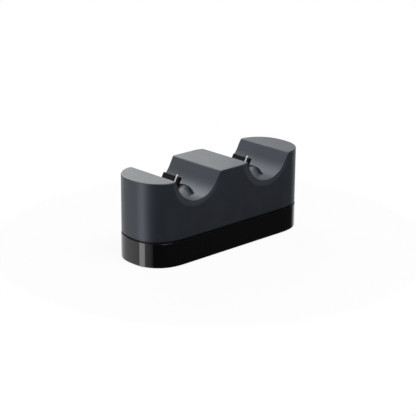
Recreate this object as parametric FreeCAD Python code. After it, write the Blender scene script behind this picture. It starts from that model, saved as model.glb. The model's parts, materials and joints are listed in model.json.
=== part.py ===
# Desk dock that charges two game controllers: a matte upper shell with two cradles on a gloss base.
# Millimetres. X runs along the dock, Y through its depth with the front at -Y, Z up.
# Heights are measured from the tray's underside and every piece is lifted by the feet's stand-out at the end.

from collections import namedtuple
import math
import os

from FreeCAD import Vector
import Part

# Overall form
length = 186.2
depth = 63.0
height = 75.4
parting = 24.4
shadow_gap = 1.5
foot_stand = 0.8

# Plan outline: straight front and back, and each end of shoulder, corner and tip arcs
end_run = 33.0
shoulder_radius = 57.4
corner_radius = 27.0
shoulder_turn = math.radians(11.0)

# Upper shell
shell_wall = 2.6
cradle_skin = 2.4
rim_round = 1.0
cradle_edge_round = 2.0

# Cradles: an upright wall, a round floor with a short level run, and a wall that leans back
cradle_pitch = 84.9
cradle_wall = -24.45
cradle_depth = 20.8
floor_run = 0.63
front_wall_radius = 22.0
back_wall_radius = 25.0
lean = math.radians(60.0)

# Dished flare round each cradle mouth, on the front and back faces
flare_radius = 30.0
flare_centre_left = 4.0
flare_centre_rise = 5.0
flare_tilt = math.radians(20.0)
flare_blend = 3.0
flare_bore = 20.0

# Scooped well in the cradle floor, with X counted from the cradle's centre
well_left = -18.6
well_right = 11.4
well_right_bow = 33.0
well_front = 18.1
well_front_left = 19.3
well_front_mid = 18.8
well_corner = 3.2
well_scoop_radius = 24.0
well_scoop_depth = 3.9
well_scoop_rise = 1.5
well_bottom_round = 2.4
well_skin = 2.2

# Charging plug
plug_width = 21.4
plug_thick = 3.4
plug_tip_x = -3.4
plug_stand = 15.75
plug_side_round = 0.9
plug_tip_round = 0.8
plug_clearance = 0.3
mouth_width = 16.5
mouth_thick = 1.4
mouth_depth = 6.0
contact_count = 8
contact_pitch = 1.9
contact_width = 1.0
contact_thick = 0.3
contact_length = 5.2
spring_offset = 7.3
spring_width = 1.4
spring_thick = 0.35
spring_drop = 14.0
spring_hook = 1.0
carrier_thick = 2.5
carrier_half_depth = 16.0
carrier_margin = 3.2
carrier_screw_y = 12.0
carrier_screw_left = -24.0
carrier_screw_right = 13.0
carrier_boss_radius = 2.6
carrier_corner = 2.0
plug_board_thick = 1.0
plug_board_length = 16.0
plug_board_width = 18.0
peg_radius = 1.0
peg_gap = 0.1
peg_y = 6.5
peg_out = 0.8

# Base tray
rim_proud = 0.35
tray_wall = 2.8
tray_floor = 2.4
tray_foot_round = 1.1
tray_rim_round = 0.3
lip_gap = 0.2
lip_thick = 1.0
lip_outset = 1.6
ledge = 19.0

# Case screws
case_screw_inset = 11.65
case_screw_y = 12.0
post_radius = 3.5
post_seat = 9.0
tray_boss_radius = 4.6
gusset_thick = 1.5
gusset_foot = 30.0
web_foot = 40.0
head_seat = 5.0
head_gap = 0.3

# Feet
foot_end_inset = 27.65
foot_side_inset = 10.0
foot_radius = 6.0
foot_seat = 1.0
foot_gap = 0.2
foot_round = 0.4

# Main board and power inlet
board_length = 76.0
board_front_inset = 19.0
board_gap = 0.7
board_thick = 1.6
board_height = 7.2
board_corner = 2.0
board_screw_end_inset = 5.0
board_screw_front_inset = 4.0
board_screw_back_inset = 7.5
standoff_radius = 3.0
jack_width = 9.0
jack_tall = 11.0
jack_long = 14.5
jack_axis = 5.6
jack_bore = 5.7
jack_pin = 2.0
jack_pin_setback = 0.5
jack_pin_round = 0.3
jack_depth = 10.0
inlet_hole = 8.6
inlet_recess = 10.6
inlet_recess_depth = 0.8

# Parts on the main board. Each place is an X, and a distance in from the board's back edge
header_left_inset = 8.0
header_right_x = 8.0
header_size = (6.0, 9.0, 6.0)
header_slot_depth = 2.0
header_slot_gap = 0.1
chip_size = (5.0, 4.0, 1.4)
chip_places = ((-10.0, 27.5), (22.0, 27.5))
inductor_size = (6.6, 6.6, 3.0)
inductor_round = 1.2
inductor_places = ((-14.0, 13.5), (16.0, 13.5))
capacitor_radius = 3.15
capacitor_tall = 7.0
capacitor_round = 0.5
capacitor_places = ((-23.0, 13.5), (25.0, 13.5))

# Ribbon leads
lead_width = 8.0
lead_thick = 1.0
lead_level = 27.0
lead_bend = 7.0

# Ballast
ballast_board_gap = 6.0
ballast_end_inset = 21.65
ballast_half_depth = 12.5
ballast_thick = 4.0
ballast_corner = 3.0
stake_y = 8.0
stake_radius = 2.0
stake_head = 3.5
stake_head_tall = 1.2
stake_clearance = 0.2

# Screws
Screw = namedtuple("Screw", "head_radius head_tall head_round shank_radius hole_radius recess_reach")
case_screw = Screw(3.0, 2.2, 0.7, 1.3, 1.6, 1.8)
small_screw = Screw(2.2, 1.5, 0.5, 0.9, 1.2, 1.3)
pilot_gap = 0.05
case_screw_length = 12.0
board_screw_length = 5.0
carrier_screw_length = 7.0
pilot_spare = 1.0
recess_width = 0.8
recess_depth = 0.9

# How far a cutting tool runs past the face it opens, and how close two places are to count as one
beyond = 5.0
same = 0.01

half_length = length / 2
half_depth = depth / 2
shell_bottom = parting + shadow_gap / 2
tray_top = parting - shadow_gap / 2
cradle_centres = {"left": -cradle_pitch / 2, "right": cradle_pitch / 2}
cradle_floor = height - cradle_depth
floor_arc_top = cradle_floor + front_wall_radius
well_floor = cradle_floor - well_scoop_depth
plug_tip_height = cradle_floor + plug_stand
carrier_top = well_floor - well_skin
carrier_bottom = carrier_top - carrier_thick
board_top = board_height + board_thick
jack_height = board_top + jack_axis
tray_inner = half_depth - tray_wall
case_screw_x = half_length - case_screw_inset
foot_x = half_length - foot_end_inset
foot_y = half_depth - foot_side_inset
board_end = board_length / 2
board_back = tray_inner - board_gap
board_front = board_front_inset - half_depth
board_screw_x = board_end - board_screw_end_inset
board_screw_front = board_front + board_screw_front_inset
board_screw_back = board_back - board_screw_back_inset
header_left_x = header_left_inset - board_end
ballast_near = board_end + ballast_board_gap
ballast_far = half_length - ballast_end_inset
plug_lean = 90.0 - math.degrees(lean)


def block(x0, x1, y0, y1, z0, z1):
    return Part.makeBox(x1 - x0, y1 - y0, z1 - z0, Vector(x0, y0, z0))


def rod(radius, x, y, z0, z1):
    return Part.makeCylinder(radius, z1 - z0, Vector(x, y, z0))


def arc(centre, radius, start, end):
    """Arc in the XY plane between two angles in radians."""
    middle = (start + end) / 2
    a, b, c = (centre + Vector(radius * math.cos(t), radius * math.sin(t), 0) for t in (start, middle, end))
    return Part.Arc(a, b, c).toShape()


def line(a, b):
    return Part.LineSegment(a, b).toShape()


def extrude(edges, direction):
    wire = Part.Wire(Part.__sortEdges__(edges))
    return Part.Face(wire).extrude(direction)


def outline(offset, z0, z1):
    """The dock's plan, grown by an offset, as a prism between two heights."""
    quarter = math.pi / 2
    shoulder = Vector(half_length - end_run, half_depth - shoulder_radius, 0)
    step = shoulder_radius - corner_radius
    corner = shoulder + Vector(step * math.sin(shoulder_turn), step * math.cos(shoulder_turn), 0)
    reach = half_length - corner.x
    tip_radius = (reach**2 + corner.y**2 - corner_radius**2) / (2 * (reach - corner_radius))
    tip = Vector(half_length - tip_radius, 0, 0)
    tip_turn = math.atan2(corner.y, corner.x - tip.x)
    upper = [
        arc(shoulder, shoulder_radius + offset, quarter, quarter - shoulder_turn),
        arc(corner, corner_radius + offset, quarter - shoulder_turn, tip_turn),
    ]
    lower = [edge.mirror(Vector(), Vector(0, 1, 0)) for edge in upper]
    end = upper + [arc(tip, tip_radius + offset, tip_turn, -tip_turn)] + lower
    other = [edge.rotated(Vector(), Vector(0, 0, 1), 180) for edge in end]
    side = half_depth + offset
    sides = [line(Vector(-shoulder.x, y, 0), Vector(shoulder.x, y, 0)) for y in (side, -side)]
    prism = extrude(end + other + sides, Vector(0, 0, z1 - z0))
    prism.translate(Vector(0, 0, z0))
    return prism


def cradle_void(centre, grow=0.0):
    """The space of one cradle, grown by its skin where asked."""
    top = height + beyond
    left = cradle_wall - grow
    front = Vector(cradle_wall + front_wall_radius, floor_arc_top, 0)
    back = Vector(front.x + floor_run, cradle_floor + back_wall_radius, 0)
    r_back = back_wall_radius + grow
    leave = back + Vector(r_back * math.sin(lean), -r_back * math.cos(lean), 0)
    crest = leave + Vector((top - leave.y) / math.tan(lean), top - leave.y, 0)
    floor_z = cradle_floor - grow
    edges = [
        line(Vector(left, top, 0), Vector(left, front.y, 0)),
        arc(front, front_wall_radius + grow, math.pi, 1.5 * math.pi),
        line(Vector(front.x, floor_z, 0), Vector(back.x, floor_z, 0)),
        arc(back, r_back, 1.5 * math.pi, 1.5 * math.pi + lean),
        line(leave, crest),
        line(crest, Vector(left, top, 0)),
    ]
    prism = extrude(edges, Vector(0, 0, depth + 2 * beyond))
    prism.rotate(Vector(), Vector(1, 0, 0), 90)
    prism.translate(Vector(centre, half_depth + beyond, 0))
    return prism


def flare_dish(centre, side):
    """Ring tool that dishes the front (-1) or back (1) face round a cradle mouth, blended at its rim."""
    run = flare_blend * math.tan(flare_tilt / 2)
    rim = flare_radius + run
    inner = flare_radius - run * math.cos(flare_tilt)
    sink = run * math.sin(flare_tilt)
    mid = flare_tilt / 2
    bow = Vector(rim - flare_blend * math.sin(mid), flare_blend * (1 - math.cos(mid)), 0)
    bore_sink = sink + (inner - flare_bore) * math.tan(flare_tilt)
    edges = [
        line(Vector(flare_bore, -beyond, 0), Vector(flare_bore, bore_sink, 0)),
        line(Vector(flare_bore, bore_sink, 0), Vector(inner, sink, 0)),
        Part.Arc(Vector(inner, sink, 0), bow, Vector(rim, 0, 0)).toShape(),
        line(Vector(rim, 0, 0), Vector(rim, -beyond, 0)),
        line(Vector(rim, -beyond, 0), Vector(flare_bore, -beyond, 0)),
    ]
    ring = Part.Face(Part.Wire(Part.__sortEdges__(edges))).revolve(Vector(), Vector(0, 1, 0), 360)
    if side > 0:
        ring = ring.mirror(Vector(), Vector(0, 1, 0))
    ring.translate(Vector(centre - flare_centre_left, side * half_depth, height + flare_centre_rise))
    return ring


def well_plan(grow, low, high):
    """The well's plan, grown by its skin where asked, as a prism: bowed right, front and back edges."""
    corner_x = well_right - (well_right_bow - math.sqrt(well_right_bow**2 - well_front**2))
    front, front_mid, front_left = well_front + grow, well_front_mid + grow, well_front_left + grow
    left, middle, right = well_left - grow, (corner_x + well_left) / 2, corner_x + grow
    edges = [line(Vector(left, front_left, 0), Vector(left, -front_left, 0))]
    for a, b, c in (
        (Vector(right, -front, 0), Vector(well_right + grow, 0, 0), Vector(right, front, 0)),
        (Vector(right, front, 0), Vector(middle, front_mid, 0), Vector(left, front_left, 0)),
        (Vector(right, -front, 0), Vector(middle, -front_mid, 0), Vector(left, -front_left, 0)),
    ):
        edges.append(Part.Arc(a, b, c).toShape())
    prism = extrude(edges, Vector(0, 0, high - low))
    prism = prism.makeFillet(well_corner + grow, upright_edges(prism))
    prism.translate(Vector(0, 0, low))
    return prism


def well(centre):
    """Tool for the well: its plan over a floor that is scooped and falls to the front and the back."""
    prism = well_plan(0, well_floor - beyond, floor_arc_top)
    ridge = Vector((well_left + well_right) / 2, 0, well_floor + well_scoop_radius + well_scoop_rise)
    scoop = block(-depth, depth, -depth, depth, ridge.z - well_scoop_rise, ridge.z + well_scoop_radius)
    for side in (-1, 1):
        fall = Vector(0, side * well_front, -well_scoop_rise).normalize()
        scoop = scoop.fuse(Part.makeCylinder(well_scoop_radius, depth, ridge - fall * beyond, fall))
    tool = prism.common(scoop).removeSplitter()
    low = cradle_floor + well_bottom_round
    foot = [e for e in tool.Edges if e.BoundBox.ZMax < low and e.BoundBox.YLength > same]
    tool = tool.makeFillet(well_bottom_round, foot)
    tool.translate(Vector(centre, 0, 0))
    return tool


def at_plug(shape, centre):
    """Leans a piece built on the plug's own axis, tip at the origin, and sets it in its cradle."""
    leaned = shape.rotated(Vector(), Vector(0, 1, 0), plug_lean)
    leaned.translate(Vector(centre + plug_tip_x, 0, plug_tip_height))
    return leaned


def blade(grow=0.0):
    """The plug's straight body on its own axis, long enough to pass the carrier plate."""
    reach = (plug_tip_height - carrier_bottom) / math.sin(lean) + plug_thick
    half = plug_thick / 2 + grow
    side = plug_width / 2 + grow
    return block(-half, half, -side, side, -reach, grow)


def edges_at(shape, height_z):
    """The edges that lie level at a height."""
    return [e for e in shape.Edges if e.BoundBox.ZLength < same and abs(e.BoundBox.ZMin - height_z) < same]


def upright_edges(shape):
    return [e for e in shape.Edges if e.BoundBox.XLength + e.BoundBox.YLength < same]


def four_places(x, y):
    return [(sx * x, sy * y) for sx in (-1, 1) for sy in (-1, 1)]


def carrier_screw_places(centre):
    """The two screw columns of a carrier plate, two screws each."""
    columns = (centre + carrier_screw_left, centre + carrier_screw_right)
    return [(x, y) for x in columns for y in (-carrier_screw_y, carrier_screw_y)]


def board_screw_places():
    return [(x, y) for x in (-board_screw_x, board_screw_x) for y in (board_screw_front, board_screw_back)]


def screw(size, shank_length, x, y, seat, up):
    """Pan-head screw with a cross recess, its head's flat on the seat and its shank up (1) or down (-1)."""
    head = rod(size.head_radius, 0, 0, -size.head_tall, 0)
    head = head.makeFillet(size.head_round, edges_at(head, -size.head_tall))
    shank = rod(size.shank_radius, 0, 0, 0, shank_length)
    reach, slot = size.recess_reach, recess_width / 2
    low, floor = -size.head_tall - beyond, recess_depth - size.head_tall
    cross = block(-reach, reach, -slot, slot, low, floor).fuse(block(-slot, slot, -reach, reach, low, floor))
    whole = head.fuse(shank).cut(cross)
    if up < 0:
        whole.rotate(Vector(), Vector(1, 0, 0), 180)
    whole.translate(Vector(x, y, seat))
    return whole


def rounded_mouths():
    """The shell's outer form: the plan as a block, both cradles through it, and its top edges rounded."""
    body = outline(0, shell_bottom, height)
    for centre in cradle_centres.values():
        body = body.cut(cradle_void(centre))
    across = [e for e in edges_at(body, height) if e.BoundBox.XLength < same]
    body = body.makeFillet(cradle_edge_round, across)
    rim = [e for e in edges_at(body, height) if e.BoundBox.XLength >= same]
    return body.makeFillet(rim_round, rim)


def shell_cavity():
    """The hollow of the shell, less the skins, bosses, posts, gussets and centre web that stand in it."""
    ceiling = height - shell_wall
    cavity = outline(-shell_wall, shell_bottom, ceiling)
    half = gusset_thick / 2
    solids = [block(-half, half, -half_depth, half_depth, web_foot, height)]
    for centre in cradle_centres.values():
        solids.append(cradle_void(centre, cradle_skin))
        skin = well_plan(well_skin, carrier_top, floor_arc_top)
        skin.translate(Vector(centre, 0, 0))
        solids.append(skin)
        for x, y in carrier_screw_places(centre):
            solids.append(rod(carrier_boss_radius, x, y, carrier_top, floor_arc_top))
    for x, y in four_places(case_screw_x, case_screw_y):
        solids.append(rod(post_radius, x, y, shell_bottom, height))
        end = math.copysign(half_length, x)
        side = math.copysign(half_depth, y)
        solids.append(block(min(x, end), max(x, end), y - half, y + half, gusset_foot, height))
        solids.append(block(x - half, x + half, min(y, side), max(y, side), gusset_foot, height))
    return cavity.cut(solids)


def upper_shell():
    body = rounded_mouths()
    for centre in cradle_centres.values():
        for side in (-1, 1):
            body = body.cut(flare_dish(centre, side))
    body = body.cut(shell_cavity())
    for centre in cradle_centres.values():
        body = body.cut([well(centre), at_plug(blade(plug_clearance), centre)])
    lip = outline(-lip_outset, ledge, shell_bottom).cut(outline(-lip_outset - lip_thick, ledge, shell_bottom))
    corners = four_places(case_screw_x, case_screw_y)
    posts = [rod(post_radius, x, y, post_seat, shell_bottom) for x, y in corners]
    body = body.fuse([lip] + posts).removeSplitter()
    pilots = []
    pilot_end = head_seat + case_screw_length + pilot_spare
    for x, y in corners:
        pilots.append(rod(case_screw.shank_radius + pilot_gap, x, y, post_seat, pilot_end))
    carrier_pilot_end = carrier_bottom + carrier_screw_length + pilot_spare
    for centre in cradle_centres.values():
        for x, y in carrier_screw_places(centre):
            pilots.append(rod(small_screw.shank_radius + pilot_gap, x, y, carrier_top, carrier_pilot_end))
    return body.cut(pilots)


def plug_board_middle(centre):
    """Where the plug's axis meets the underside of its carrier plate."""
    return centre + plug_tip_x - (plug_tip_height - carrier_bottom) / math.tan(lean)


def plug_body(centre):
    """Leaning plug with its mouth, on a level carrier plate with screw holes and two pegs for its board."""
    body = blade()
    body = body.makeFillet(plug_side_round, upright_edges(body))
    body = body.makeFillet(plug_tip_round, edges_at(body, 0))
    half = mouth_thick / 2
    body = body.cut(block(-half, half, -mouth_width / 2, mouth_width / 2, -mouth_depth, beyond))
    body = at_plug(body, centre)
    low = carrier_bottom - 2 * beyond
    body = body.cut(block(centre - depth, centre + depth, -depth, depth, low, carrier_bottom))
    left = centre + carrier_screw_left - carrier_margin
    right = centre + carrier_screw_right + carrier_margin
    plate = block(left, right, -carrier_half_depth, carrier_half_depth, carrier_bottom, carrier_top)
    plate = plate.makeFillet(carrier_corner, upright_edges(plate))
    x = plug_board_middle(centre)
    peg_end = carrier_bottom - plug_board_thick - peg_out
    pegs = [rod(peg_radius, x, y, peg_end, carrier_bottom) for y in (-peg_y, peg_y)]
    body = body.fuse([plate] + pegs).removeSplitter()
    places = carrier_screw_places(centre)
    return body.cut([rod(small_screw.hole_radius, x, y, low, height) for x, y in places])


def plug_contacts(centre):
    """Row of flat contacts on the mouth's back wall."""
    wall = mouth_thick / 2
    first = -(contact_count - 1) * contact_pitch / 2
    strips = []
    for i in range(contact_count):
        y = first + i * contact_pitch
        low, high = y - contact_width / 2, y + contact_width / 2
        strip = block(wall - contact_thick, wall, low, high, -mouth_depth, contact_length - mouth_depth)
        strips.append(at_plug(strip, centre))
    return Part.makeCompound(strips)


def plug_spring(centre):
    """Bright spring strip that lies on the plug's face and hooks over its tip."""
    face = -plug_thick / 2
    outer = face - spring_thick
    turn_z = spring_thick
    bend = Vector(outer + spring_hook, turn_z, 0)
    r_in = spring_hook - spring_thick
    edges = [
        line(Vector(outer, -spring_drop, 0), Vector(outer, turn_z, 0)),
        arc(bend, spring_hook, math.pi, math.pi / 2),
        line(bend + Vector(0, spring_hook, 0), bend + Vector(0, r_in, 0)),
        arc(bend, r_in, math.pi, math.pi / 2),
        line(Vector(face, turn_z, 0), Vector(face, -spring_drop, 0)),
        line(Vector(face, -spring_drop, 0), Vector(outer, -spring_drop, 0)),
    ]
    strip = extrude(edges, Vector(0, 0, spring_width))
    strip.rotate(Vector(), Vector(1, 0, 0), 90)
    strip.translate(Vector(0, spring_width / 2 - spring_offset, 0))
    return at_plug(strip, centre)


def plug_board(centre):
    x = plug_board_middle(centre)
    half_x, half_y = plug_board_length / 2, plug_board_width / 2
    board = block(x - half_x, x + half_x, -half_y, half_y, carrier_bottom - plug_board_thick, carrier_bottom)
    return board.cut([rod(peg_radius + peg_gap, x, y, 0, height) for y in (-peg_y, peg_y)])


def ribbon(centre, header_x):
    """Flat lead: down from the plug's board, across on one level and down into its header."""
    start = Vector(plug_board_middle(centre), carrier_bottom - plug_board_thick, 0)
    end = Vector(header_x, board_top + header_size[2] - header_slot_depth, 0)
    way = math.copysign(1, end.x - start.x)
    half = lead_thick / 2
    first = Vector(start.x + way * lead_bend, lead_level + lead_bend, 0)
    second = Vector(end.x - way * lead_bend, lead_level - lead_bend, 0)
    face_edges = []
    for side in (-half, half):
        r_first = lead_bend + way * side
        r_second = lead_bend - way * side
        top, low = Vector(start.x - side, start.y, 0), Vector(end.x - side, end.y, 0)
        angle = math.pi if way > 0 else 0
        face_edges += [
            line(top, Vector(top.x, first.y, 0)),
            arc(first, r_first, angle, 1.5 * math.pi if way > 0 else -math.pi / 2),
            line(Vector(first.x, first.y - r_first, 0), Vector(second.x, second.y + r_second, 0)),
            arc(second, r_second, math.pi / 2, 0 if way > 0 else math.pi),
            line(Vector(low.x, second.y, 0), low),
        ]
    face_edges += [
        line(start - Vector(half, 0, 0), start + Vector(half, 0, 0)),
        line(end - Vector(half, 0, 0), end + Vector(half, 0, 0)),
    ]
    band = extrude(face_edges, Vector(0, 0, lead_width))
    band.rotate(Vector(), Vector(1, 0, 0), 90)
    band.translate(Vector(0, lead_width / 2, 0))
    return band


def base_tray():
    """Gloss tray: foot recesses, screw bosses, board standoffs, ballast stakes, lip ledge and inlet hole."""
    body = outline(rim_proud, 0, tray_top)
    body = body.makeFillet(tray_foot_round, edges_at(body, 0))
    body = body.makeFillet(tray_rim_round, edges_at(body, tray_top))
    body = body.cut(outline(-tray_wall, tray_floor, height))
    body = body.cut(outline(lip_gap - lip_outset, ledge, height))
    root = tray_floor / 2
    corners = four_places(case_screw_x, case_screw_y)
    standing = [rod(tray_boss_radius, x, y, root, post_seat) for x, y in corners]
    standing += [rod(standoff_radius, x, y, root, board_height) for x, y in board_screw_places()]
    plate_top = tray_floor + ballast_thick
    for x, y in four_places((ballast_near + ballast_far) / 2, stake_y):
        standing.append(rod(stake_radius, x, y, root, plate_top))
        standing.append(rod(stake_head, x, y, plate_top, plate_top + stake_head_tall))
    body = body.fuse(standing).removeSplitter()
    holes = []
    for x, y in corners:
        holes.append(rod(case_screw.head_radius + head_gap, x, y, -beyond, head_seat))
        holes.append(rod(case_screw.hole_radius, x, y, 0, post_seat + beyond))
    pilot_end = board_top - board_screw_length - pilot_spare
    for x, y in board_screw_places():
        holes.append(rod(small_screw.shank_radius + pilot_gap, x, y, pilot_end, height))
    holes += [rod(foot_radius + foot_gap, x, y, -beyond, foot_seat) for x, y in four_places(foot_x, foot_y)]
    outer_wall = half_depth + rim_proud
    along = Vector(0, 1, 0)
    holes.append(Part.makeCylinder(inlet_hole / 2, depth, Vector(0, tray_inner - beyond, jack_height), along))
    recess_from = outer_wall - inlet_recess_depth
    holes.append(Part.makeCylinder(inlet_recess / 2, depth, Vector(0, recess_from, jack_height), along))
    return body.cut(holes)


def foot(x, y):
    pad = rod(foot_radius, x, y, -foot_stand, foot_seat)
    return pad.makeFillet(foot_round, edges_at(pad, -foot_stand))


def ballast(side):
    x0, x1 = sorted((side * ballast_near, side * ballast_far))
    plate = block(x0, x1, -ballast_half_depth, ballast_half_depth, tray_floor, tray_floor + ballast_thick)
    plate = plate.makeFillet(ballast_corner, upright_edges(plate))
    middle = (x0 + x1) / 2
    return plate.cut([rod(stake_radius + stake_clearance, middle, y, 0, height) for y in (-stake_y, stake_y)])


def main_board():
    board = block(-board_end, board_end, board_front, board_back, board_height, board_top)
    board = board.makeFillet(board_corner, upright_edges(board))
    return board.cut([rod(small_screw.hole_radius, x, y, 0, height) for x, y in board_screw_places()])


def inlet_socket():
    half = jack_width / 2
    body = block(-half, half, tray_inner - jack_long, tray_inner, board_top, board_top + jack_tall)
    bore_start = Vector(0, tray_inner - jack_depth, jack_height)
    return body.cut(Part.makeCylinder(jack_bore / 2, jack_depth + beyond, bore_start, Vector(0, 1, 0)))


def inlet_pin():
    start = Vector(0, tray_inner - jack_depth, jack_height)
    pin = Part.makeCylinder(jack_pin / 2, jack_depth - jack_pin_setback, start, Vector(0, 1, 0))
    tip = [e for e in pin.Edges if e.BoundBox.YMin > start.y + same]
    return pin.makeFillet(jack_pin_round, tip)


def on_board(size, x, y):
    """Block of a size that stands on the main board, centred on a place."""
    sx, sy, sz = size
    return block(x - sx / 2, x + sx / 2, y - sy / 2, y + sy / 2, board_top, board_top + sz)


def header(x):
    body = on_board(header_size, x, 0)
    half_x, half_y = lead_thick / 2 + header_slot_gap, lead_width / 2 + header_slot_gap
    top = board_top + header_size[2]
    return body.cut(block(x - half_x, x + half_x, -half_y, half_y, top - header_slot_depth, top + beyond))


def inductor(x, y):
    body = on_board(inductor_size, x, y)
    return body.makeFillet(inductor_round, upright_edges(body))


def capacitor(x, y):
    can = rod(capacitor_radius, x, y, board_top, board_top + capacitor_tall)
    return can.makeFillet(capacitor_round, edges_at(can, board_top + capacitor_tall))


def in_from_back(places):
    """Places on the main board as X and Y, from an X and a distance in from its back edge."""
    return [(x, board_back - inset) for x, inset in places]


def screws(size, shank_length, places, seat, up):
    return Part.makeCompound([screw(size, shank_length, x, y, seat, up) for x, y in places])


def all_pieces():
    """Every piece by its node name. Identical fasteners and board parts are groups of separate solids."""
    chips = [on_board(chip_size, x, y) for x, y in in_from_back(chip_places)]
    corners = four_places(case_screw_x, case_screw_y)
    pieces = {
        "upper_shell": upper_shell(),
        "base_tray": base_tray(),
        "main_board": main_board(),
        "inlet_socket": inlet_socket(),
        "inlet_pin": inlet_pin(),
        "charge_chips": Part.makeCompound(chips),
        "inductors": Part.makeCompound([inductor(x, y) for x, y in in_from_back(inductor_places)]),
        "capacitors": Part.makeCompound([capacitor(x, y) for x, y in in_from_back(capacitor_places)]),
        "case_screws": screws(case_screw, case_screw_length, corners, head_seat, 1),
        "board_screws": screws(small_screw, board_screw_length, board_screw_places(), board_top, -1),
    }
    for end, side in (("left", -1), ("right", 1)):
        pieces[f"ballast_{end}"] = ballast(side)
        for edge, way in (("front", -1), ("back", 1)):
            pieces[f"foot_{edge}_{end}"] = foot(side * foot_x, way * foot_y)
    headers = {"left": header_left_x, "right": header_right_x}
    for end, centre in cradle_centres.items():
        pieces[f"plug_body_{end}"] = plug_body(centre)
        pieces[f"plug_contacts_{end}"] = plug_contacts(centre)
        pieces[f"plug_spring_{end}"] = plug_spring(centre)
        pieces[f"plug_board_{end}"] = plug_board(centre)
        places = carrier_screw_places(centre)
        pieces[f"carrier_screws_{end}"] = screws(small_screw, carrier_screw_length, places, carrier_bottom, 1)
        pieces[f"ribbon_lead_{end}"] = ribbon(centre, headers[end])
        pieces[f"lead_header_{end}"] = header(headers[end])
    return pieces


def main():
    os.makedirs("parts", exist_ok=True)
    for name, shape in all_pieces().items():
        shape.translate(Vector(0, 0, foot_stand))
        shape.exportStep(f"parts/{name}.step")
        print(name, "valid" if shape.isValid() else "NOT VALID", len(shape.Solids), round(shape.Volume, 1))


main()
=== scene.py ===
"""Charging dock for game controllers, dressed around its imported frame.

Metres, X along the dock, Y to the back, Z up. The camera stands at the photograph's place.
"""

import json
import math

import bmesh
import bpy
import numpy as np
from mathutils import Matrix, Vector

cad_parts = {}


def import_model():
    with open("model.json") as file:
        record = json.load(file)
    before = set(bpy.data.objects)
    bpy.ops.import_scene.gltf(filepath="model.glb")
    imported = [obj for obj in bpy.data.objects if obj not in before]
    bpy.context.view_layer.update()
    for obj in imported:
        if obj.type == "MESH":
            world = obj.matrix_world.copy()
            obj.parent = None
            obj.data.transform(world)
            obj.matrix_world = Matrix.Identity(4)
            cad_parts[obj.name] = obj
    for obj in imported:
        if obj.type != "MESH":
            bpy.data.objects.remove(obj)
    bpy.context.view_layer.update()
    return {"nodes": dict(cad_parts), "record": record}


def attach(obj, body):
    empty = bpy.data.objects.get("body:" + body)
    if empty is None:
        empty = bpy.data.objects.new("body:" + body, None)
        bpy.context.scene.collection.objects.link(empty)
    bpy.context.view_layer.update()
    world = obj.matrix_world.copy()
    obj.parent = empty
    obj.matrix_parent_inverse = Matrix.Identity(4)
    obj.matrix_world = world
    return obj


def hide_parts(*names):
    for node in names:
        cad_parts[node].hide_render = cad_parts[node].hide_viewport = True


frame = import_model()
nodes = frame["nodes"]

MM = 0.001

# Camera, fitted to the outline in the photograph, a square of 416 pixels
PHOTO_SIDE = 416
FOCAL_PIXELS = 1348.4
SENSOR = 36.0
CLIP = (0.05, 50.0)
AZIMUTH = math.radians(-43.393)
ELEVATION = math.radians(18.75)
ROLL = math.radians(0.437)
TARGET_HEIGHT = 33.68 * MM
CAMERA_DISTANCE = 1209.58 * MM
SLIDE_RIGHT = 2.601 * MM
SLIDE_UP = 3.217 * MM

# Floor: its size, how light it is to the camera and to the dock, and where the camera sees it fade to white
FLOOR_RADIUS = 3.0
FLOOR_SEEN = 0.93
FLOOR_BOUNCE = 0.25
FLOOR_GRAIN = 1.02
FADE_FROM = 0.08
FADE_TO = 0.2
SHADOW_LIFT = 0.93

# Room in reflections: dim in front and white behind, which blend between two Y values of a direction
ROOM_DIM = 0.045
ROOM_BLEND = (-0.2, 0.25)

# Strip lamp in reflections: its level heading, the cosine of its half width, the soft border of that cosine, and the
# Z values of a direction between which its top fades out. A wide soft glow stands beside it.
STRIP_HEADING = (-0.969, 0.247, 0.0)
STRIP_EDGE = math.cos(math.radians(10.8))
STRIP_BORDER = (-0.006, 0.002)
STRIP_LEVEL = 3.1
STRIP_TOP = (0.75, 0.85)
GLOW_HEADING = (-0.985, -0.174, 0.0)
GLOW_EDGE = math.cos(math.radians(20.0))
GLOW_LEVEL = 0.6

# Soft light of the room on matte faces: its level in front, which falls to none between two Y values
FILL_FRONT = 0.12
FILL_FADE = (-0.5, 0.8)

# Lamps, each at a place with a power in watts, all of one size and facing one point
LAMP_WIDTH = 0.5
LAMP_HEIGHT = 0.4
LAMP_TARGET = (0, 0, 0.04)
LAMPS = {
    "back_box": ((0.142, 0.807, 0.574), 3.8),
    "front_box": ((0, -0.423, 0.906), 6.2),
    "side_box": ((0.47, 0.814, 0.342), 0.9),
}

# Shapes of the shell, in millimetres above the table: the curved faces get exact normals from these.
# The solids' dishes tilt by 20 degrees and are shaded steeper, as they look in the photograph.
HALF_LENGTH = 93.1
HALF_DEPTH = 31.5
END_RUN = 33.0
SHOULDER_RADIUS = 57.4
CORNER_RADIUS = 27.0
SHOULDER_TURN = math.radians(11.0)
CRADLE_CENTRES = (-42.45, 42.45)
CRADLE_WALL = -24.45
CRADLE_FLOOR = 55.4
FRONT_WALL_RADIUS = 22.0
FLOOR_RUN = 0.63
BACK_WALL_RADIUS = 25.0
BACK_ARC_RISE = BACK_WALL_RADIUS / 2
FLARE_LEFT = 4.0
FLARE_HEIGHT = 81.2
FLARE_RADIUS = 30.0
FLARE_TILT = math.radians(31.0)
FLARE_BLEND = 3.0

# How a corner of a triangle is found on one of these faces, in millimetres
ON_SURFACE = 0.06
ON_EDGE = 0.05
FLARE_MARGIN = 2.0
FLARE_BAND = 2.5
NEAR_FACET = math.cos(math.radians(12.0))

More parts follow.
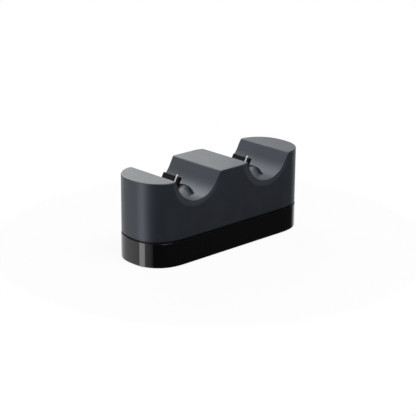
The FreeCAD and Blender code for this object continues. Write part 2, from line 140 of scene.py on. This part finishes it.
# Small forms that the scene makes, in millimetres; x is from the cradle's centre.
# What an opening sees faces its axis (x, z). The rims along the seam lie between two heights and go down by a drop.
OPENING_AXIS = (-3.0, 80.0)
OPENING_REACH = 27.0
OPENING_BOTTOM = 47.0
OPENING_FACES = 0.01
WELL_HALF_DEPTH = 19.4
WELL_RIGHT = 12.0
WELL_DROP = 3.0
WELL_DROP_SIDES = (2.0, 10.0)
WELL_DROP_RUN = (0.0, 10.0)
WELL_DROP_WALL = 1.0
PARTING = {"upper_shell": (25.9, 26.0, 1.1), "base_tray": (24.1, 24.5, 1.6)}

# Nodes that get a smooth skin, and the angle up to which it is smooth
SKINNED = ("upper_shell", "base_tray", "plug_body_left", "plug_body_right", "foot_front_left", "foot_front_right",
           "foot_back_left", "foot_back_right", "plug_spring_left", "plug_spring_right")
SHARP_ANGLE = math.radians(32.0)
MERGE_DISTANCE = 0.001 * MM


def camera_axes(azimuth, elevation, roll):
    """Right, up and back directions of a camera that looks at the dock from an azimuth and an elevation."""
    back = Vector((math.sin(azimuth) * math.cos(elevation), -math.cos(azimuth) * math.cos(elevation),
                   math.sin(elevation)))
    right = Vector((math.cos(azimuth), math.sin(azimuth), 0))
    up = back.cross(right)
    turned_right = right * math.cos(roll) + up * math.sin(roll)
    turned_up = up * math.cos(roll) - right * math.sin(roll)
    return turned_right, turned_up, back


def place_camera():
    right, up, back = camera_axes(AZIMUTH, ELEVATION, ROLL)
    data = bpy.data.cameras.new("photo_camera")
    data.sensor_width = SENSOR
    data.lens = FOCAL_PIXELS * SENSOR / PHOTO_SIDE
    data.clip_start, data.clip_end = CLIP
    camera = bpy.data.objects.new("photo_camera", data)
    eye = Vector((0, 0, TARGET_HEIGHT)) + back * CAMERA_DISTANCE - right * SLIDE_RIGHT - up * SLIDE_UP
    camera.matrix_world = Matrix((right, up, back)).transposed().to_4x4()
    camera.matrix_world.translation = eye
    bpy.context.scene.collection.objects.link(camera)
    bpy.context.scene.camera = camera


class Nodes:
    """A short way to write shader nodes: add(type, inputs, settings) and link by socket."""

    def __init__(self, tree):
        self.tree = tree

    def add(self, kind, inputs=None, **settings):
        node = self.tree.nodes.new("ShaderNode" + kind)
        for key, value in settings.items():
            setattr(node, key, value)
        for key, value in (inputs or {}).items():
            if isinstance(value, bpy.types.NodeSocket):
                self.link(value, node.inputs[key])
            else:
                node.inputs[key].default_value = value
        return node

    def link(self, source, target):
        self.tree.links.new(source, target)

    def math(self, operation, a, b=0.0, c=0.0):
        return self.add("Math", {0: a, 1: b, 2: c}, operation=operation).outputs[0]

    def dot(self, a, b):
        return self.add("VectorMath", {0: a, 1: b}, operation="DOT_PRODUCT").outputs["Value"]

    def mix(self, factor, a, b):
        return self.add("Mix", {0: factor, 6: a, 7: b}, data_type="RGBA").outputs[2]

    def ramp(self, value, low, high, to_low=0.0, to_high=1.0, **settings):
        return self.add("MapRange", {0: value, 1: low, 2: high, 3: to_low, 4: to_high}, **settings).outputs[0]

    def bump(self, shader, height, strength, distance):
        bump = self.add("Bump", {"Height": height, "Strength": strength, "Distance": distance})
        self.link(bump.outputs[0], shader.inputs["Normal"])


def group(name, inputs, outputs):
    """New shader group with a vector input, float inputs {name: default} and float outputs (names)."""
    tree = bpy.data.node_groups.new(name, "ShaderNodeTree")
    tree.interface.new_socket("Vector", in_out="INPUT", socket_type="NodeSocketVector")
    for label, default in inputs.items():
        tree.interface.new_socket(label, in_out="INPUT", socket_type="NodeSocketFloat").default_value = default
    for label in outputs:
        tree.interface.new_socket(label, in_out="OUTPUT", socket_type="NodeSocketFloat")
    start = tree.nodes.new("NodeGroupInput")
    end = tree.nodes.new("NodeGroupOutput")
    return tree, Nodes(tree), start.outputs, end.inputs


def moulded_grain_group():
    """Spark-eroded grain of a moulding: cells and a fine noise as a height, and broad patches."""
    tree, n, given, out = group("moulded_grain", {"Cell": 2200.0}, ("Height", "Patch"))
    cells = n.add("TexVoronoi", {"Vector": given["Vector"], "Scale": given["Cell"]}, feature="SMOOTH_F1")
    fine = n.add("TexNoise", {"Vector": given["Vector"], "Scale": n.math("MULTIPLY", given["Cell"], 1.7),
                              "Detail": 3.0})
    coarse = n.add("TexNoise", {"Vector": given["Vector"], "Scale": 60.0, "Detail": 4.0, "Roughness": 0.6})
    height = n.math("ADD", n.math("MULTIPLY", cells.outputs["Distance"], 0.6),
                    n.math("MULTIPLY", fine.outputs["Fac"], 0.5))
    n.link(height, out["Height"])
    n.link(n.ramp(coarse.outputs["Fac"], 0.35, 0.65), out["Patch"])
    return tree


def handling_group():
    """Fingerprints, faint scuffs and settled dust: a smear mask, a scratch mask and a dust mask."""
    tree, n, given, out = group("handling", {}, ("Smear", "Scratch", "Dust"))
    smear = n.add("TexNoise", {"Vector": given["Vector"], "Scale": 30.0, "Detail": 6.0, "Roughness": 0.65,
                               "Distortion": 0.6})
    n.link(n.ramp(smear.outputs["Fac"], 0.42, 0.72), out["Smear"])
    stretch = n.add("Mapping", {"Vector": given["Vector"], "Rotation": (0.3, 0.2, 0.9), "Scale": (1.0, 0.06, 1.0)})
    lines = n.add("TexVoronoi", {"Vector": stretch.outputs[0], "Scale": 90.0}, feature="DISTANCE_TO_EDGE")
    patches = n.add("TexNoise", {"Vector": given["Vector"], "Scale": 45.0, "Detail": 2.0})
    thin = n.ramp(lines.outputs["Distance"], 0.004, 0.02, 1.0, 0.0)
    n.link(n.math("MULTIPLY", thin, n.ramp(patches.outputs["Fac"], 0.58, 0.7)), out["Scratch"])
    up = n.add("SeparateXYZ", {0: n.add("NewGeometry").outputs["Normal"]}).outputs["Z"]
    specks = n.add("TexNoise", {"Vector": given["Vector"], "Scale": 900.0, "Detail": 2.0})
    level = n.ramp(up, 0.55, 1.0)
    n.link(n.math("MULTIPLY", level, n.ramp(specks.outputs["Fac"], 0.55, 0.75)), out["Dust"])
    return tree


def room_group():
    """What a reflection sees of the studio in a direction: white paper behind the dock, a dim room in front of it and a
    tall strip lamp on its left, with a soft glow beside it."""
    tree, n, given, out = group("room", {}, ("Level",))
    way = n.add("SeparateXYZ", {0: given["Vector"]}).outputs
    behind = n.ramp(way["Y"], *ROOM_BLEND, ROOM_DIM, 1.0, interpolation_type="SMOOTHSTEP")
    level = n.add("CombineXYZ", {0: way["X"], 1: way["Y"]}).outputs[0]
    heading = n.add("VectorMath", {0: level}, operation="NORMALIZE").outputs[0]
    inner, outer = (STRIP_EDGE + border for border in STRIP_BORDER)
    strip = n.ramp(n.dot(heading, STRIP_HEADING), inner, outer, 0.0, STRIP_LEVEL)
    glow = n.ramp(n.dot(heading, GLOW_HEADING), GLOW_EDGE, 1.0, 0.0, GLOW_LEVEL)
    low = n.ramp(way["Z"], *STRIP_TOP, 1.0, 0.0)
    n.link(n.math("ADD", behind, n.math("MULTIPLY", n.math("ADD", strip, glow), low)), out["Level"])
    return tree


def shared(n, tree, vector, **values):
    """Places a shared group in a material, fed with a texture vector and this material's own values."""
    node = n.add("Group")
    node.node_tree = tree
    n.link(vector, node.inputs["Vector"])
    for label, value in values.items():
        node.inputs[label].default_value = value
    return node.outputs


MOULDED_GRAIN = moulded_grain_group()
HANDLING = handling_group()
ROOM = room_group()


def material(name, **principled):
    """New material with a Principled shader. Gives the material, its nodes, the shader and object coordinates."""
    made = bpy.data.materials.new(name)
    made.use_nodes = True
    n = Nodes(made.node_tree)
    shader = made.node_tree.nodes["Principled BSDF"]
    for label, value in principled.items():
        shader.inputs[label.replace("_", " ")].default_value = value
    place = n.add("TexCoord").outputs["Object"]
    return made, n, shader, place


def tint(color, factor):
    return tuple(c * factor for c in color[:3]) + (1.0,)


def grey(level):
    return (level, level, level, 1.0)


def plastic(name, color, rough, cell, grain, smear=0.1, scuff=0.08, dust=0.05, **principled):
    """Moulded plastic: grain as bump, patchy roughness, smears, a few scuffs and a trace of dust."""
    made, n, shader, place = material(name, **principled)
    skin = shared(n, MOULDED_GRAIN, place, Cell=cell)
    marks = shared(n, HANDLING, place)
    base = n.mix(skin["Patch"], tint(color, 0.94), tint(color, 1.06))
    base = n.mix(n.math("MULTIPLY", marks["Scratch"], scuff * 3), base, tint(color, 2.2))
    base = n.mix(n.math("MULTIPLY", marks["Dust"], dust), base, (0.55, 0.54, 0.52, 1.0))
    n.link(base, shader.inputs["Base Color"])
    level = n.math("ADD", n.ramp(skin["Patch"], 0.0, 1.0, rough - 0.02, rough + 0.02),
                   n.math("MULTIPLY", marks["Smear"], -smear * rough))
    level = n.math("ADD", level, n.math("MULTIPLY", marks["Scratch"], scuff))
    n.link(level, shader.inputs["Roughness"])
    n.bump(shader, skin["Height"], *grain)
    return made


def metal(name, color, rough, brush):
    """Metal with fine lines along one direction and a patchy sheen. brush scales the pattern along X, Y and Z."""
    made, n, shader, place = material(name, Metallic=1.0)
    stretch = n.add("Mapping", {"Vector": place, "Scale": brush})
    lines = n.add("TexNoise", {"Vector": stretch.outputs[0], "Scale": 1.0, "Detail": 4.0, "Roughness": 0.7})
    marks = shared(n, HANDLING, place)
    base = n.mix(lines.outputs["Fac"], tint(color, 0.88), tint(color, 1.08))
    n.link(base, shader.inputs["Base Color"])
    level = n.math("ADD", n.ramp(lines.outputs["Fac"], 0.3, 0.7, rough - 0.06, rough + 0.06),
                   n.math("MULTIPLY", marks["Smear"], 0.08))
    n.link(level, shader.inputs["Roughness"])
    n.bump(shader, lines.outputs["Fac"], 0.12, 0.02 * MM)
    return made


def circuit_board():
    """Green solder mask over faint copper traces, with the glass weave showing through."""
    made, n, shader, place = material("solder_mask", Coat_Weight=0.3)
    traces = n.add("TexBrick", {"Vector": place, "Scale": 260.0, "Color1": (0.02, 0.15, 0.06, 1),
                                "Color2": (0.015, 0.12, 0.05, 1), "Mortar": (0.06, 0.24, 0.1, 1),
                                "Mortar Size": 0.06})
    weave = n.add("TexWave", {"Vector": place, "Scale": 900.0, "Distortion": 1.0})
    base = n.mix(n.math("MULTIPLY", weave.outputs["Fac"], 0.15), traces.outputs["Color"], (0.05, 0.2, 0.1, 1))
    n.link(base, shader.inputs["Base Color"])
    n.link(n.ramp(weave.outputs["Fac"], 0, 1, 0.32, 0.45), shader.inputs["Roughness"])
    n.bump(shader, traces.outputs["Fac"], 0.3, 0.03 * MM)
    return made


def make_materials():
    """One finish for each material slot of the frame."""
    return {
        "shell": plastic("matte_shell", (0.039, 0.045, 0.055), 0.42, 2600.0, (0.35, 0.03 * MM),
                         Specular_Tint=(0.8, 0.87, 1.0, 1.0)),
        "gloss_base": plastic("gloss_base", (0.004, 0.004, 0.0045), 0.07, 400.0, (0.02, 0.01 * MM), smear=0.8,
                              scuff=0.05, dust=0.08),
        "foot_rubber": plastic("foot_rubber", (0.02, 0.02, 0.02), 0.8, 1800.0, (0.6, 0.06 * MM)),
        "black_plastic": plastic("plug_black", (0.004, 0.004, 0.005), 0.4, 3200.0, (0.2, 0.02 * MM),
                                 dust=0.0, Specular_IOR_Level=0.1),
        "contact_metal": metal("gold_plate", (0.83, 0.62, 0.28), 0.25, (900, 900, 60)),
        "spring_steel": metal("spring_bright", (0.5, 0.5, 0.52), 0.35, (900, 900, 60)),
        "screw_steel": metal("screw_zinc", (0.46, 0.46, 0.48), 0.35, (500, 500, 500)),
        "ballast_steel": metal("ballast_plate", (0.35, 0.35, 0.36), 0.45, (60, 900, 900)),
        "circuit_board": circuit_board(),
        "chip_resin": plastic("chip_resin", (0.012, 0.012, 0.012), 0.5, 3000.0, (0.4, 0.03 * MM)),
        "ferrite": plastic("ferrite_core", (0.05, 0.05, 0.052), 0.55, 1500.0, (0.6, 0.05 * MM)),
        "capacitor_can": metal("capacitor_can", (0.7, 0.7, 0.72), 0.3, (60, 60, 900)),
        "lead_jacket": plastic("lead_jacket", (0.12, 0.12, 0.125), 0.5, 1600.0, (0.3, 0.03 * MM)),
        "header_plastic": plastic("header_nylon", (0.6, 0.57, 0.5), 0.5, 1600.0, (0.3, 0.03 * MM)),
    }


def plan_normals(points):
    """Outward normals of the dock's plan at points (x, y). Each end is three arcs, met at their turns: the shoulder
    about (L - run, D - R), the corner about the same line R - r further, and the tip about (L - t, 0)."""
    x, y = np.abs(points[:, 0]), np.abs(points[:, 1])
    shoulder = np.array([HALF_LENGTH - END_RUN, HALF_DEPTH - SHOULDER_RADIUS])
    step = SHOULDER_RADIUS - CORNER_RADIUS
    corner = shoulder + step * np.array([math.sin(SHOULDER_TURN), math.cos(SHOULDER_TURN)])
    reach = HALF_LENGTH - corner[0]
    tip_radius = (reach**2 + corner[1]**2 - CORNER_RADIUS**2) / (2 * (reach - CORNER_RADIUS))
    tip = np.array([HALF_LENGTH - tip_radius, 0.0])
    tip_turn = math.atan2(corner[1], corner[0] - tip[0])
    at_tip = np.arctan2(y, x - tip[0]) < tip_turn
    at_shoulder = np.arctan2(x - shoulder[0], y - shoulder[1]) < SHOULDER_TURN
    centre = np.where(at_tip[:, None], tip, np.where(at_shoulder[:, None], shoulder, corner))
    away = np.stack([x, y], axis=1) - centre
    away[x < shoulder[0]] = (0.0, 1.0)
    away /= np.linalg.norm(away, axis=1, keepdims=True)
    return np.stack([away[:, 0] * np.sign(points[:, 0]), away[:, 1] * np.sign(points[:, 1]), 0 * x], axis=1)


def arc_axes(centre):
    """The x of the axes of a cradle's front and back arc."""
    front = centre + CRADLE_WALL + FRONT_WALL_RADIUS
    return front, front + FLOOR_RUN


def cradle_normals(points, centre):
    """Normals of a cradle's inside at points (x, y, z): towards the axis of the front or the back arc."""
    front, back = arc_axes(centre)
    x, z = points[:, 0], points[:, 2]
    axis_x = np.where(x < front, front, np.where(x > back, back, x))
    axis_z = np.where(x < front, CRADLE_FLOOR + FRONT_WALL_RADIUS, CRADLE_FLOOR + BACK_WALL_RADIUS)
    away = np.stack([axis_x - x, 0 * x, axis_z - z], axis=1)
    return away / np.linalg.norm(away, axis=1, keepdims=True)


def cradle_height(x):
    """Height of a cradle's inside at x from its centre: the front arc, the flat run or the back arc."""
    front, back = arc_axes(0.0)
    ahead = np.clip(front - x, 0, FRONT_WALL_RADIUS)
    behind = np.clip(x - back, 0, BACK_WALL_RADIUS)
    return (CRADLE_FLOOR + FRONT_WALL_RADIUS - np.sqrt(FRONT_WALL_RADIUS**2 - ahead**2)
            + BACK_WALL_RADIUS - np.sqrt(BACK_WALL_RADIUS**2 - behind**2))


def flare_normals(points, centre):
    """Normals of a dish on the front or back face: a cone of the tilt inside, and an arc of the blend at its rim."""
    x, z = points[:, 0] - (centre - FLARE_LEFT), points[:, 2] - FLARE_HEIGHT
    radius = np.hypot(x, z)
    rim = FLARE_RADIUS + FLARE_BLEND * math.tan(FLARE_TILT / 2)
    tilt = np.arcsin(np.clip((rim - radius) / FLARE_BLEND, 0, math.sin(FLARE_TILT)))
    side = np.sign(points[:, 1])
    return np.stack([-x / radius * np.sin(tilt), side * np.cos(tilt), -z / radius * np.sin(tilt)], axis=1)


def end_field(slack):
    """The rounded ends of the plan as a field, from a slack ahead of where they start."""
    return plan_normals, lambda p: np.abs(p[:, 0]) > HALF_LENGTH - END_RUN - slack


def shell_fields():
    """The curved faces of the shell, each as its normals and where it lies, in millimetres."""
    fields = []
    for centre in CRADLE_CENTRES:

        def on_cradle(p, centre=centre):
            front, back = arc_axes(centre)
            x, z = p[:, 0], p[:, 2] - CRADLE_FLOOR
            off_front = np.abs(np.hypot(x - front, z - FRONT_WALL_RADIUS) - FRONT_WALL_RADIUS)
            off_back = np.abs(np.hypot(x - back, z - BACK_WALL_RADIUS) - BACK_WALL_RADIUS)
            low_front = (x <= front + ON_EDGE) & (z < FRONT_WALL_RADIUS)
            low_back = (x >= back - ON_EDGE) & (z < BACK_ARC_RISE + ON_EDGE)
            return ((off_front < ON_SURFACE) & low_front) | ((off_back < ON_SURFACE) & low_back)

        def on_flare(p, centre=centre):
            radius = np.hypot(p[:, 0] - (centre - FLARE_LEFT), p[:, 2] - FLARE_HEIGHT)
            return (radius < FLARE_RADIUS + FLARE_MARGIN) & (np.abs(p[:, 1]) > HALF_DEPTH - FLARE_BAND)

        fields.append((lambda p, centre=centre: cradle_normals(p, centre), on_cradle))
        fields.append((lambda p, centre=centre: flare_normals(p, centre), on_flare))
    fields.append(end_field(ON_EDGE))
    return fields


def vertex_table(mesh, what):
    """A mesh's vertex values of one kind, 'co' or 'normal', as rows of three."""
    values = np.zeros(len(mesh.vertices) * 3)
    mesh.vertices.foreach_get(what, values)
    return values.reshape(-1, 3)


def set_places(mesh, points):
    mesh.vertices.foreach_set("co", points.ravel())
    mesh.update()


def exact_normals(skin, fields):
    """Sets the corner normals of a skin. fields are (normals of points, mask of points) pairs in order: a face takes
    the first whose mask holds at all its corners and whose normals lie near its own, else the skin's weighted ones."""
    mesh = skin.data
    corners = len(mesh.loops)
    vertex = np.zeros(corners, np.int64)
    mesh.loops.foreach_get("vertex_index", vertex)
    points = vertex_table(mesh, "co")[vertex] / MM
    finished = skin.evaluated_get(bpy.context.evaluated_depsgraph_get())
    normals = np.zeros(corners * 3)
    finished.data.corner_normals.foreach_get("vector", normals)
    normals = normals.reshape(-1, 3)
    facet = np.zeros(len(mesh.polygons) * 3)
    mesh.polygons.foreach_get("normal", facet)
    facet = np.repeat(facet.reshape(-1, 3), 3, axis=0)
    free = np.ones(corners, bool)
    for field, mask in fields:
        exact = field(points)
        near = mask(points) & (np.einsum("ij,ij->i", exact, facet) > NEAR_FACET)
        near = np.repeat(near.reshape(-1, 3).all(axis=1), 3) & free
        normals[near] = exact[near]
        free &= ~near
    skin.modifiers.clear()
    mesh.normals_split_custom_set(normals.tolist())


def smooth_step(values, low, high):
    """Rises from 0 at low to 1 at high as t * t * (3 - 2 t), with t the share of the way."""
    part = np.clip((values - low) / (high - low), 0, 1)
    return part * part * (3 - 2 * part)


def facing_opening(points, normals, centre):
    """Which vertices lie on the surfaces that a cradle's opening sees, and their x from the cradle's centre."""
    x = points[:, 0] - centre
    to_axis = (OPENING_AXIS[0] - x) * normals[:, 0] + (OPENING_AXIS[1] - points[:, 2]) * normals[:, 2]
    return (np.abs(x) < OPENING_REACH) & (points[:, 2] > OPENING_BOTTOM) & (to_axis > OPENING_FACES), x


def deepen_wells(mesh):
    """Sinks the two right corners of each well's floor: z -= WELL_DROP * s(x) * s(|y|) * s(depth below the cradle)."""
    points, normals = vertex_table(mesh, "co") / MM, vertex_table(mesh, "normal")
    for centre in CRADLE_CENTRES:
        seen, x = facing_opening(points, normals, centre)
        below = cradle_height(x) - points[:, 2]
        inside = seen & (np.abs(points[:, 1]) < WELL_HALF_DEPTH) & (x < WELL_RIGHT)
        drop = WELL_DROP * smooth_step(x, *WELL_DROP_RUN) * smooth_step(np.abs(points[:, 1]), *WELL_DROP_SIDES)
        drop *= smooth_step(below, 0.0, WELL_DROP_WALL)
        points[inside, 2] -= drop[inside]
    set_places(mesh, points * MM)


def move_parting(mesh, low, high, drop):
    """Lowers the rim along the seam, between two heights above the table, by a drop, all in millimetres."""
    points = vertex_table(mesh, "co")
    rim = (points[:, 2] > low * MM) & (points[:, 2] < high * MM)
    points[rim, 2] -= drop * MM
    set_places(mesh, points)


def smooth_skin(node, finish, fields):
    """Stands for a CAD node: its own triangles merged into one skin, shaded smooth up to the sharp angle."""
    work = bmesh.new()
    work.from_mesh(nodes[node].data)
    bmesh.ops.remove_doubles(work, verts=work.verts, dist=MERGE_DISTANCE)
    mesh = bpy.data.meshes.new(node + "_skin")
    work.to_mesh(mesh)
    work.free()
    if node == "upper_shell":
        deepen_wells(mesh)
    mesh.shade_smooth()
    mesh.set_sharp_from_angle(angle=SHARP_ANGLE)
    mesh.materials.append(finish)
    skin = bpy.data.objects.new(node + "_skin", mesh)
    bpy.context.scene.collection.objects.link(skin)
    skin.modifiers.new("weighted", "WEIGHTED_NORMAL").keep_sharp = True
    if fields:
        exact_normals(skin, fields)
    if node in PARTING:
        move_parting(mesh, *PARTING[node])
    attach(skin, "root")
    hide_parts(node)
    return skin


def dress_nodes(finishes):
    """Gives every carried-over node the finish of its slot, and a smooth skin to the large curved ones."""
    fields = {"upper_shell": shell_fields(), "base_tray": [end_field(0.0)]}
    slots = {entry["node"]: entry["material_slot"] for entry in frame["record"]["subparts"]}
    for node, slot in slots.items():
        finish = finishes[slot]
        if node in SKINNED:
            piece = smooth_skin(node, finish, fields.get(node))
        else:
            nodes[node].data.materials.clear()
            nodes[node].data.materials.append(finish)


def floor():
    """Pale floor. It is seen near white, keeps the dock's shadow, and sends less light back up.

    Reflections pass through it to the room, so gloss shows the room's level under the horizon too.
    """
    turn = np.linspace(0, 2 * math.pi, 96, endpoint=False)
    ring = np.stack([np.cos(turn), np.sin(turn), np.zeros_like(turn)], axis=1) * FLOOR_RADIUS
    mesh = bpy.data.meshes.new("floor")
    mesh.from_pydata(ring.tolist(), [], [list(range(len(turn)))])
    stage = bpy.data.objects.new("floor", mesh)
    bpy.context.scene.collection.objects.link(stage)
    made, n, shader, place = material("floor_paper", Roughness=0.9, Specular_IOR_Level=0.0)
    path = n.add("LightPath").outputs
    grain = n.add("TexNoise", {"Vector": place, "Scale": 400.0, "Detail": 3.0})
    paper = n.mix(grain.outputs["Fac"], grey(FLOOR_BOUNCE), grey(FLOOR_BOUNCE * FLOOR_GRAIN))
    n.link(n.mix(path["Is Camera Ray"], paper, grey(FLOOR_SEEN)), shader.inputs["Base Color"])
    distance = n.add("VectorMath", {0: place}, operation="LENGTH").outputs["Value"]
    far = n.ramp(distance, FADE_FROM, FADE_TO)
    camera_fade = n.math("MULTIPLY", path["Is Camera Ray"], n.math("MAXIMUM", far, SHADOW_LIFT))
    mirrored = n.math("MAXIMUM", path["Is Glossy Ray"], path["Is Transmission Ray"])
    clear = n.add("BsdfTransparent")
    white = n.add("Emission", {"Strength": 1.0})
    first = n.add("MixShader", {0: mirrored, 1: shader.outputs[0], 2: clear.outputs[0]})
    second = n.add("MixShader", {0: camera_fade, 1: first.outputs[0], 2: white.outputs[0]})
    n.link(second.outputs[0], n.tree.nodes["Material Output"].inputs["Surface"])
    mesh.materials.append(made)


def world():
    """White backdrop for the camera. Reflections see the room, and matte faces a soft light from the front."""
    made = bpy.data.worlds.new("studio")
    bpy.context.scene.world = made
    made.use_nodes = True
    n = Nodes(made.node_tree)
    background = made.node_tree.nodes["Background"]
    path = n.add("LightPath").outputs
    way = n.add("TexCoord").outputs["Generated"]
    mirror = shared(n, ROOM, way)["Level"]
    fill = n.ramp(n.add("SeparateXYZ", {0: way}).outputs["Y"], *FILL_FADE, FILL_FRONT, 0.0)
    seen = n.math("MAXIMUM", path["Is Glossy Ray"], path["Is Transmission Ray"])
    level = n.math("ADD", n.math("MULTIPLY", seen, mirror),
                   n.math("MULTIPLY", n.math("SUBTRACT", 1.0, seen), fill))
    camera = path["Is Camera Ray"]
    level = n.math("ADD", n.math("MULTIPLY", n.math("SUBTRACT", 1.0, camera), level), camera)
    n.link(level, background.inputs["Strength"])
    background.inputs["Color"].default_value = grey(1.0)


def lights():
    """Rectangular lamps that face the dock."""
    for name, (place, power) in LAMPS.items():
        data = bpy.data.lights.new(name, "AREA")
        data.shape = "RECTANGLE"
        data.size = LAMP_WIDTH
        data.size_y = LAMP_HEIGHT
        data.energy = power
        lamp = bpy.data.objects.new(name, data)
        aim = Vector(LAMP_TARGET) - Vector(place)
        lamp.matrix_world = Matrix.Translation(place) @ aim.to_track_quat("-Z", "Y").to_matrix().to_4x4()
        bpy.context.scene.collection.objects.link(lamp)


place_camera()
dress_nodes(make_materials())
floor()
world()
lights()
scene = bpy.context.scene
scene.view_settings.view_transform = "Standard"
